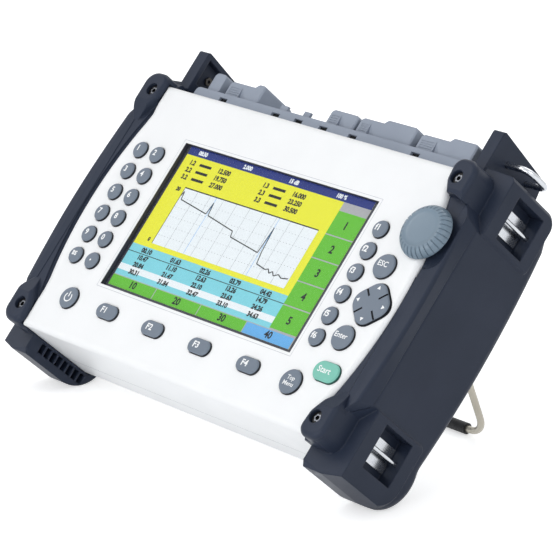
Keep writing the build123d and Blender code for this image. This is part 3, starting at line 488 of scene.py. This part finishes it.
def drawGraph(s):
    (u0, u1), (v0, v1) = s["u"], s["v"]
    patch(u0 - s["axis"], u1, v0, v1 + s["head"], 1, "black")
    patch(u0, u1, v0, v1, 2, "white")
    for index in range(1, s["columns"]):
        u = u0 + (u1 - u0) * index / s["columns"]
        patch(u - s["lineHalf"], u + s["lineHalf"], v0, v1, 3, "dots")
    for row in range(1, s["rows"]):
        v = v0 + (v1 - v0) * row / s["rows"]
        for index in range(s["dots"]):
            u = u0 + s["dotStart"] + index * s["dotStep"]
            patch(u, u + s["dotLong"], v - s["dotHalf"], v + s["dotHalf"], 3, "dots")
    stroke([(u0 + u, v0 + v) for u, v in s["trace"]], s["traceWidth"], 4, "black")
    for u in s["markers"]:
        stroke([(u0 + u, v0), (u0 + u, v1)], s["markerWidth"], 4, "blue")
    for text, du, dv in s["labels"]:
        figure(text, u0 + du, v0 + dv, s["labelSize"], 1, "black")


drawGraph(graph)

# Table of made-up figures under the graph
table = {"top": 27.0, "right": 129.8, "band": (3.2, 7.0), "rule": (5.0, 4.6), "rows": 4, "row": 4.6, "drop": 2.6,
         "columns": 5, "left": 14, "step": 25.0, "size": 4.0}


def drawTable(s, low):
    patch(0, s["right"], low, s["top"], 1, "cyan")
    patch(0, s["right"], low + s["band"][0], low + s["band"][1], 2, "white")
    patch(0, s["right"], s["top"] - s["rule"][0], s["top"] - s["rule"][1], 2, "black")
    for row in range(s["rows"]):
        v = s["top"] - s["drop"] - row * s["row"]
        for index in range(s["columns"]):
            text = f"{row}{index}.{(row * 37 + index * 53) % 90 + 10}"
            figure(text, s["left"] + index * s["step"], v, s["size"], 3, "black")


drawTable(table, softBar["top"])
screen.build("screen_picture", "housing")

# Dark liner over the four walls of the display opening
linerSettings = {"left": -77.9, "right": 80.2, "bottom": 46.6, "top": 139.2, "front": 0.25, "back": 2.9,
                 "sheet": 0.12}


def makeLiner(s):
    points = []
    for y in (s["front"], s["back"]):
        for thin in (0, s["sheet"]):
            left, right = s["left"] + thin, s["right"] - thin
            low, top = s["bottom"] + thin, s["top"] - thin
            points += [place(x, y, z) for x, z in ((left, low), (right, low), (right, top), (left, top))]
    faces = []
    for i in range(4):
        j = (i + 1) % 4
        faces += [(i, j, 4 + j, 4 + i), (8 + i, 12 + i, 12 + j, 8 + j),
                  (4 + i, 4 + j, 12 + j, 12 + i), (i, 8 + i, 8 + j, j)]
    mesh = newMesh("window_liner", points, faces, looks["display_black"])
    addTrim("window_liner", mesh, "housing")


makeLiner(linerSettings)

# Printed edge line of the panel round the display
borderSettings = {"gap": 1.7, "width": 0.3, "y": -0.03,
                  "ink": {"base": "#C9CDD4", "vary": "#C3C7CE", "rough": (0.4, 0.5), "bump": 0.0}}


def makeBorder(s, opening):
    left, right = opening["left"] - s["gap"], opening["right"] + s["gap"]
    low, top = opening["bottom"] - s["gap"], opening["top"] + s["gap"]
    outline = [(left, top), (left, low), (right, low), (right, top), (left, top)]
    border = Sheet()
    border.line(outline, s["width"], s["y"], makeMaterial("panel_line", s["ink"]))
    border.build("panel_line", "housing")


makeBorder(borderSettings, linerSettings)

paneSettings = {"x": (-81.0, 82.0), "y": (2.0, 2.3), "z": (46.0, 141.2),
                "tint": "#F8FAFB", "shine": 0.02, "rough": (0.06, 0.12), "scale": 30}


def makeClear(name, s):
    # Clear, with a faint gloss that is a little uneven
    material = bpy.data.materials.new(name)
    material.use_nodes = True
    tree = material.node_tree
    tree.nodes.remove(tree.nodes["Principled BSDF"])
    through = addNode(tree, "BsdfTransparent", {"Color": tone(s["tint"])})
    shine = addNode(tree, "BsdfGlossy")
    cloud = addNode(tree, "TexNoise", {"Scale": s["scale"]})
    gloss = addNode(tree, "MapRange", {"To Min": s["rough"][0], "To Max": s["rough"][1]})
    tree.links.new(cloud.outputs["Fac"], gloss.inputs["Value"])
    tree.links.new(gloss.outputs["Result"], shine.inputs["Roughness"])
    mix = addNode(tree, "MixShader", {"Fac": s["shine"]})
    tree.links.new(through.outputs["BSDF"], mix.inputs[1])
    tree.links.new(shine.outputs["BSDF"], mix.inputs[2])
    tree.links.new(mix.outputs["Shader"], tree.nodes["Material Output"].inputs["Surface"])
    return material


def makePane(s):
    corners = [place(x, y, z) for x in s["x"] for y in s["y"] for z in s["z"]]
    sides = [(0, 1, 3, 2), (4, 6, 7, 5), (0, 4, 5, 1), (2, 3, 7, 6), (0, 2, 6, 4), (1, 5, 7, 3)]
    pane = newObject("window_pane", newMesh("window_pane", corners, sides, makeClear("pane_clear", s)))
    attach(pane, "housing")
    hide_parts("display_window")


makePane(paneSettings)
print("screen made")

# Painted shade: black sheets at the back of the latch slots in the port lip, for the shade inside them
slotShadeSettings = {"middles": (-83.8, -39.0, -19.95, 0.4, 24.05, 73.0), "half": 3.2, "low": 172.85, "high": 174.95,
                "y": 13.05,
                "ink": {"base": "#0E0F12", "vary": "#141519", "rough": (0.6, 0.7), "bump": 0.0, "specular": 0.2}}


def makeLipSlotShade(s):
    slotShadeInk = makeMaterial("slot_shade_black", s["ink"])
    slots = Sheet()
    for x in s["middles"]:
        slots.bar(x - s["half"], x + s["half"], s["low"], s["high"], s["y"], slotShadeInk)
    slots.build("lip_slot_shade", "housing")


makeLipSlotShade(slotShadeSettings)

# Six-lobed sockets in the heads of the front screws
socketSettings = {"x": 123.9, "z": (19.4, 162.8), "y": -2.06, "lobe": 2.3, "waist": 1.8, "lobes": 6, "hole": 1.3,
                  "steps": 36,
                  "steel": {"base": "#8D9097", "vary": "#7E8188", "rough": (0.3, 0.4), "metal": 0.9}}


def makeSockets(s):
    socketSteel = makeMaterial("socket_steel", s["steel"])
    middle, swing = (s["lobe"] + s["waist"]) / 2, (s["lobe"] - s["waist"]) / 2
    sockets = Sheet()
    for x in (-s["x"], s["x"]):
        for z in s["z"]:
            for i in range(s["steps"]):
                ring = []
                for a, outer in ((i, True), (i + 1, True), (i + 1, False), (i, False)):
                    turn = 2 * math.pi * a / s["steps"]
                    radius = middle + swing * math.cos(s["lobes"] * turn) if outer else s["hole"]
                    ring.append((x + radius * math.cos(turn), z + radius * math.sin(turn)))
                sockets.add(ring, s["y"], socketSteel)
    sockets.build("screw_sockets", "housing")


makeSockets(socketSettings)

# Nuts of the strap loops
nutSettings = {"x": 119.5, "y": (24.6, 43.6), "z": 187.0, "radius": 2.6, "hole": 1.1, "height": 1.2, "steps": 6,
               "steel": {"base": "#4B4844", "vary": "#423F3C", "rough": (0.35, 0.45), "metal": 0.6}}


def makeNuts(s):
    top = s["x"] - s["height"]
    rings = ((s["x"], s["radius"]), (top, s["radius"]), (top, s["hole"]), (s["x"], s["hole"]))
    points = []
    faces = []
    for side in (-1, 1):
        for y in s["y"]:
            faces += loftFaces(len(rings), s["steps"], start=len(points))
            for x, radius in rings:
                for a in range(s["steps"]):
                    turn = 2 * math.pi * a / s["steps"]
                    points.append(place(side * x, y + radius * math.cos(turn), s["z"] + radius * math.sin(turn)))
    mesh = newMesh("loop_nuts", points, faces, makeMaterial("nut_steel", s["steel"]))
    addTrim("loop_nuts", mesh, "housing")


makeNuts(nutSettings)

# Panel with the fuller round of its left edge, and the bumper's dark slope beside it
frontSettings = {"middle": 91.1, "bulge": 129.5, "neck": 119.0, "reach": 66.0, "round": 3.5, "ledge": 6.0,
                 "fuller": 2.4, "inset": 2.0, "zone": 11.0, "skin": 0.06, "over": 0.01,
                 "ends": (25.5, 36.0, 149.0, 157.0), "slopeFront": 2.6, "slopeSteps": 60, "slopeFoot": 0.05,
                 "slopeSide": 0.15, "slopeLift": 0.1}
edgeRise = frontSettings["bulge"] - frontSettings["neck"]
edgeRadius = (edgeRise ** 2 + frontSettings["reach"] ** 2) / (2 * edgeRise)
edgeCentre = frontSettings["bulge"] - edgeRadius


def endFade(s, z):
    # 1 along the edge, falling to 0 at its two ends
    rise = min(1, max(0, (z - s["ends"][0]) / (s["ends"][1] - s["ends"][0])))
    fall = min(1, max(0, (s["ends"][3] - z) / (s["ends"][3] - s["ends"][2])))
    return rise * fall


def fullerRound(s, depth, y, share):
    # Depth from the panel's edge and height of a point once the round is fuller
    old, new = s["round"], s["round"] + s["fuller"] * share
    if y < old:
        top = new - (old - y) * new / old
    else:
        top = new + (y - old) / (s["ledge"] - old) * (s["ledge"] - new)
    if depth < old:
        return s["inset"] * share + new - (old - depth) * new / old, top
    near = s["inset"] * share + new
    blend = (s["zone"] - depth) / (s["zone"] - old)
    return s["zone"] - (s["zone"] - near) * blend, y + (top - y) * blend


def onSkin(s, depth, y):
    # True for the outside of the panel: its face, its round or the wall under it
    if depth < s["round"] and y < s["round"]:
        return abs(math.hypot(s["round"] - depth, s["round"] - y) - s["round"]) < s["skin"]
    return y < s["skin"] or depth < s["skin"]


def makeRoundedFront(s):
    source = nodes["front_case"]
    bpy.context.view_layer.update()
    mesh = source.data.copy()
    for vertex in mesh.vertices:
        spot = source.matrix_world @ vertex.co
        x, y, z = devicePoint(spot)
        depth = edgeRadius - math.hypot(-x - edgeCentre, z - s["middle"])
        share = endFade(s, z)
        if x < 0 and share > 0 and -s["over"] < depth < s["zone"] and y < s["ledge"]:
            deeper, top = fullerRound(s, depth, y, share)
            spot = place(x + deeper - depth, top if onSkin(s, depth, y) else y, z)
        vertex.co = spot
    piece = newObject("rounded_front", mesh)
    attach(piece, "housing")
    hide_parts("front_case")


def makePanelSlope(s):
    points = []
    back = s["ledge"] - s["slopeLift"]
    for i in range(s["slopeSteps"] + 1):
        z = s["ends"][0] + (s["ends"][3] - s["ends"][0]) * i / s["slopeSteps"]
        edge = edgeCentre + math.sqrt(edgeRadius ** 2 - (z - s["middle"]) ** 2)
        foot = edge - s["inset"] * endFade(s, z)
        outside = -edge - s["slopeSide"]
        points += [place(-foot - s["slopeFoot"], back, z), place(outside, s["slopeFront"], z), place(outside, back, z)]
    faces = [[a, d, c, b] for a, b, c, d in loftFaces(s["slopeSteps"] + 1, 3)]
    last = s["slopeSteps"] * 3
    faces += [[0, 1, 2], [last + 2, last + 1, last]]
    mesh = newMesh("panel_slope", points, faces, looks["bumper_rubber"])
    addTrim("panel_slope", mesh, "housing")


makeRoundedFront(frontSettings)
makePanelSlope(frontSettings)
print("panel edge made")

# Painted shade: a grey line along the parting of the two case halves on the underside, for the shadow in the joint
seamShadowSettings = {"half": 118.0, "y": 41.0, "width": 0.35, "z": 9.46,
                "ink": {"base": "#A4A8AE", "vary": "#9CA0A6", "rough": (0.6, 0.7), "bump": 0.0}}


def makeSeamShadow(s):
    corners = [(-1, -1), (-1, 1), (1, 1), (1, -1)]
    points = [place(dx * s["half"], s["y"] + dy * s["width"] / 2, s["z"]) for dx, dy in corners]
    mesh = newMesh("case_seam_shadow", points, [(0, 1, 2, 3)], makeMaterial("seam_shadow_grey", s["ink"]))
    addTrim("case_seam_shadow", mesh, "housing")


makeSeamShadow(seamShadowSettings)
print("small fittings made")

# Turned jog knob: shallow dish, rounded rim with fine grooves, shaft into the encoder
# Each point of the profile has its radius, its height and its share of the groove
knobSettings = {"x": 123.2, "z": 130.0, "grooves": 30, "depth": 0.5, "lean": 0.7, "half": 0.8, "lip": 1.3,
                "weld": 0.000005, "sharp": 40,
                "profile": ((0.0, -6.1, 0), (4.0, -6.13, 0), (8.0, -6.22, 0), (10.2, -6.3, 0), (10.7, -6.66, 0),
                            (11.1, -6.72, 0), (11.5, -6.66, 0.6), (12.4, -6.35, 1), (13.4, -5.65, 1),
                            (14.4, -4.5, 1), (15.1, -3.1, 1), (15.4, -2.0, 1), (15.5, -1.3, 1),
                            (15.3, -0.8, 0), (2.0, -0.8, 0), (2.0, 6.5, 0), (0.0, 6.5, 0))}


def makeKnob(s):
    turns = []
    for index in range(s["grooves"]):
        middle = 360 / s["grooves"] * index
        turns += [(middle - s["lip"], 0), (middle - s["half"], 1), (middle + s["half"], 1), (middle + s["lip"], 0)]
        turns += [(middle + 180 / s["grooves"], 0)]
    points = []
    for radius, y, share in s["profile"]:
        for angle, cut in turns:
            sink = s["depth"] * share * cut * s["lean"]
            reach = radius - sink
            turn = math.radians(angle)
            points.append(place(s["x"] + reach * math.cos(turn), y + sink, s["z"] + reach * math.sin(turn)))
    faces = [face[::-1] for face in loftFaces(len(s["profile"]), len(turns))]
    mesh = newMesh("turned_knob", points, faces)
    shape = bmesh.new()
    shape.from_mesh(mesh)
    bmesh.ops.remove_doubles(shape, verts=shape.verts, dist=s["weld"])
    bmesh.ops.recalc_face_normals(shape, faces=shape.faces)
    shape.to_mesh(mesh)
    shape.free()
    for face in mesh.polygons:
        face.use_smooth = True
    mesh.set_sharp_from_angle(angle=math.radians(s["sharp"]))
    mesh.materials.append(looks["knob_grey"])
    piece = newObject("turned_knob", mesh)
    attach(piece, "knob")
    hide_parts("jog_knob")


makeKnob(knobSettings)
print("knob made")

# Full front edge of each bumper between its screw bosses, barrelled like the panel, with a shallow
# bay for the knob on the right
edgeSettings = {"inner": 129.85, "ridge": 135.0, "middle": 91.1, "reach": 141.8, "barrel": 2.3,
                "stretch": 1.15, "shoulder": 1.5, "nose": 0.4, "front": (1.85, 1.7, 2.1, 2.65, 3.9),
                "side": (140.45, 11.4), "under": ((139.2, 11.6), (131.2, 3.2)), "steps": 240, "across": 18,
                "stepX": 134.0, "stepZ": 30.0, "slope": 1.375}
baySettings = {"right": 138.2, "low": 112.6, "high": 190.0, "left": 100.0, "round": 8.0, "floor": 3.05, "wall": 0.7}


def bayShare(s, x, z):
    # 1 inside the bay, 0 outside, with a short sloped wall between
    overX = abs(x - (s["left"] + s["right"]) / 2) - (s["right"] - s["left"]) / 2 + s["round"]
    overZ = abs(z - (s["low"] + s["high"]) / 2) - (s["high"] - s["low"]) / 2 + s["round"]
    reach = math.hypot(max(overX, 0), max(overZ, 0)) + min(max(overX, overZ), 0) - s["round"]
    return min(1, max(0, 0.5 - reach / s["wall"]))


def bumperEdgeSection(s, t, scooped):
    # Points across the edge at share t of its length, ends slanted to meet the corner steps
    bow = s["reach"] - s["barrel"] * (s["stretch"] * (2 * t - 1)) ** 2
    shoulder = bow - s["shoulder"]
    corners = [(s["inner"], s["front"][0]), (s["ridge"], s["front"][1]), (shoulder, s["front"][2])]
    line = []
    for i in range(s["across"]):
        x = s["inner"] + (shoulder - s["inner"]) * i / s["across"]
        (x0, y0), (x1, y1) = corners[:2] if x < s["ridge"] else corners[1:]
        line.append((x, y0 + (y1 - y0) * (x - x0) / (x1 - x0)))
    line += [corners[2], (bow - s["nose"], s["front"][3]), (bow, s["front"][4]),
             ((bow + s["side"][0]) / 2, (s["front"][4] + s["side"][1]) / 2), s["side"], *s["under"]]
    points = []
    for x, y in line:
        low = s["stepZ"] + (x - s["stepX"]) * s["slope"]
        z = low + (2 * s["middle"] - 2 * low) * t
        if scooped and y < baySettings["floor"]:
            y += (baySettings["floor"] - y) * bayShare(baySettings, x, z)
        points.append((x, y, z))
    return points


def makeBumperEdge(name, side, s):
    sections = [bumperEdgeSection(s, i / s["steps"], side > 0) for i in range(s["steps"] + 1)]
    count = len(sections[0])
    last = s["steps"] * count
    points = [place(side * x, y, z) for section in sections for x, y, z in section]
    faces = loftFaces(len(sections), count)
    faces += [list(range(count))[::-1], list(range(last, last + count))]
    if side < 0:
        faces = [face[::-1] for face in faces]
    addTrim(name, newMesh(name, points, faces, looks["bumper_rubber"]), "housing")


makeBumperEdge("left_bumper_edge", -1, edgeSettings)
makeBumperEdge("right_bumper_edge", 1, edgeSettings)

# Rounded skin over the lower corner of each screw boss
cornerSettings = {"x": 126.0, "z": 16.0, "root": 7.5, "inner": 7.9, "outer": 8.35, "from": -75, "to": -25,
                  "front": -0.8, "ease": 0.5, "back": 15.0, "steps": 10}


def makeBossCorner(name, side, s):
    points = []
    for i in range(s["steps"] + 1):
        turn = math.radians(s["from"] + (s["to"] - s["from"]) * i / s["steps"])
        swell = s["inner"] + (s["outer"] - s["inner"]) * math.sin(math.pi * i / s["steps"])
        section = ((s["root"], s["front"]), (swell, s["front"] + s["ease"]), (swell, s["back"]), (s["root"], s["back"]))
        for radius, y in section:
            points.append(place(side * (s["x"] + radius * math.cos(turn)), y, s["z"] + radius * math.sin(turn)))
    faces = loftFaces(s["steps"] + 1, 4, closed=False)
    if side > 0:
        faces = [face[::-1] for face in faces]
    addTrim(name, newMesh(name, points, faces, looks["bumper_rubber"]), "housing")


makeBossCorner("left_boss_corner", -1, cornerSettings)
makeBossCorner("right_boss_corner", 1, cornerSettings)
print("bumper edges made")


def seenRays(tree):
    # 1 for what is seen straight, in gloss or through glass
    path = addNode(tree, "LightPath")
    seen = path.outputs["Is Camera Ray"]
    for ray in ("Is Glossy Ray", "Is Transmission Ray"):
        larger = addNode(tree, "Math")
        larger.operation = "MAXIMUM"
        tree.links.new(seen, larger.inputs[0])
        tree.links.new(path.outputs[ray], larger.inputs[1])
        seen = larger.outputs["Value"]
    return seen


# Pale floor, a little brighter where it is seen, which keeps its shadow
floorSettings = {"half": 6.0, "drop": -0.0004, "seen": 0.54,
                 "look": {"base": "#F2F3F4", "vary": "#EFF0F1", "rough": (0.8, 0.9), "bump": 0.0,
                          "specular": 0.1, "scale": 3}}


def makeFloor(s):
    material = makeMaterial("floor_pale", s["look"])
    tree = material.node_tree
    surface = tree.nodes["Principled BSDF"]
    scaled = addNode(tree, "Math")
    scaled.operation = "MULTIPLY"
    scaled.inputs[1].default_value = s["seen"]
    tree.links.new(seenRays(tree), scaled.inputs[0])
    surface.inputs["Emission Color"].default_value = (1, 1, 1, 1)
    tree.links.new(scaled.outputs["Value"], surface.inputs["Emission Strength"])
    corners = [(x * s["half"], y * s["half"], s["drop"]) for x, y in ((-1, -1), (1, -1), (1, 1), (-1, 1))]
    floor = newObject("floor", newMesh("floor", corners, [(0, 1, 2, 3)], material))


makeFloor(floorSettings)

worldSettings = {"fill": "#FFFFFF", "level": 0.47, "seen": 1.0}


def makeWorld(s):
    world = bpy.data.worlds.new("studio")
    bpy.context.scene.world = world
    world.use_nodes = True
    tree = world.node_tree
    fill = tree.nodes["Background"]
    fill.inputs["Color"].default_value = tone(s["fill"])
    fill.inputs["Strength"].default_value = s["level"]
    seen = addNode(tree, "Background", {"Color": (1, 1, 1, 1), "Strength": s["seen"]})
    mix = addNode(tree, "MixShader")
    tree.links.new(seenRays(tree), mix.inputs["Fac"])
    tree.links.new(fill.outputs["Background"], mix.inputs[1])
    tree.links.new(seen.outputs["Background"], mix.inputs[2])
    tree.links.new(mix.outputs["Shader"], tree.nodes["World Output"].inputs["Surface"])


makeWorld(worldSettings)

# Soft lamps, all turned to the middle of the object
lampAim = (0, 0, 0.08)
lampPlan = {
    "key": {"place": (-0.9, -1.3, 1.9), "size": 1.4, "power": 14.2, "color": (1.0, 0.99, 0.98)},
    "side": {"place": (1.7, -0.4, 1.1), "size": 1.2, "power": 6.2, "color": (0.95, 0.97, 1.0)},
    "low": {"place": (0.2, -1.5, 0.2), "size": 1.2, "power": 11.6, "color": (1.0, 1.0, 1.0)},
    "rear": {"place": (-0.3, 1.5, 1.6), "size": 1.2, "power": 7.6, "color": (1.0, 1.0, 1.0)},
}


def makeLamp(name, s):
    data = bpy.data.lights.new(name, "AREA")
    data.size = s["size"]
    data.energy = s["power"]
    data.color = s["color"]
    lamp = newObject(name, data)
    lamp.location = s["place"]
    lamp.rotation_euler = (Vector(lampAim) - Vector(s["place"])).to_track_quat("-Z", "Y").to_euler()


for name, settings in lampPlan.items():
    makeLamp(name, settings)
print("light set")
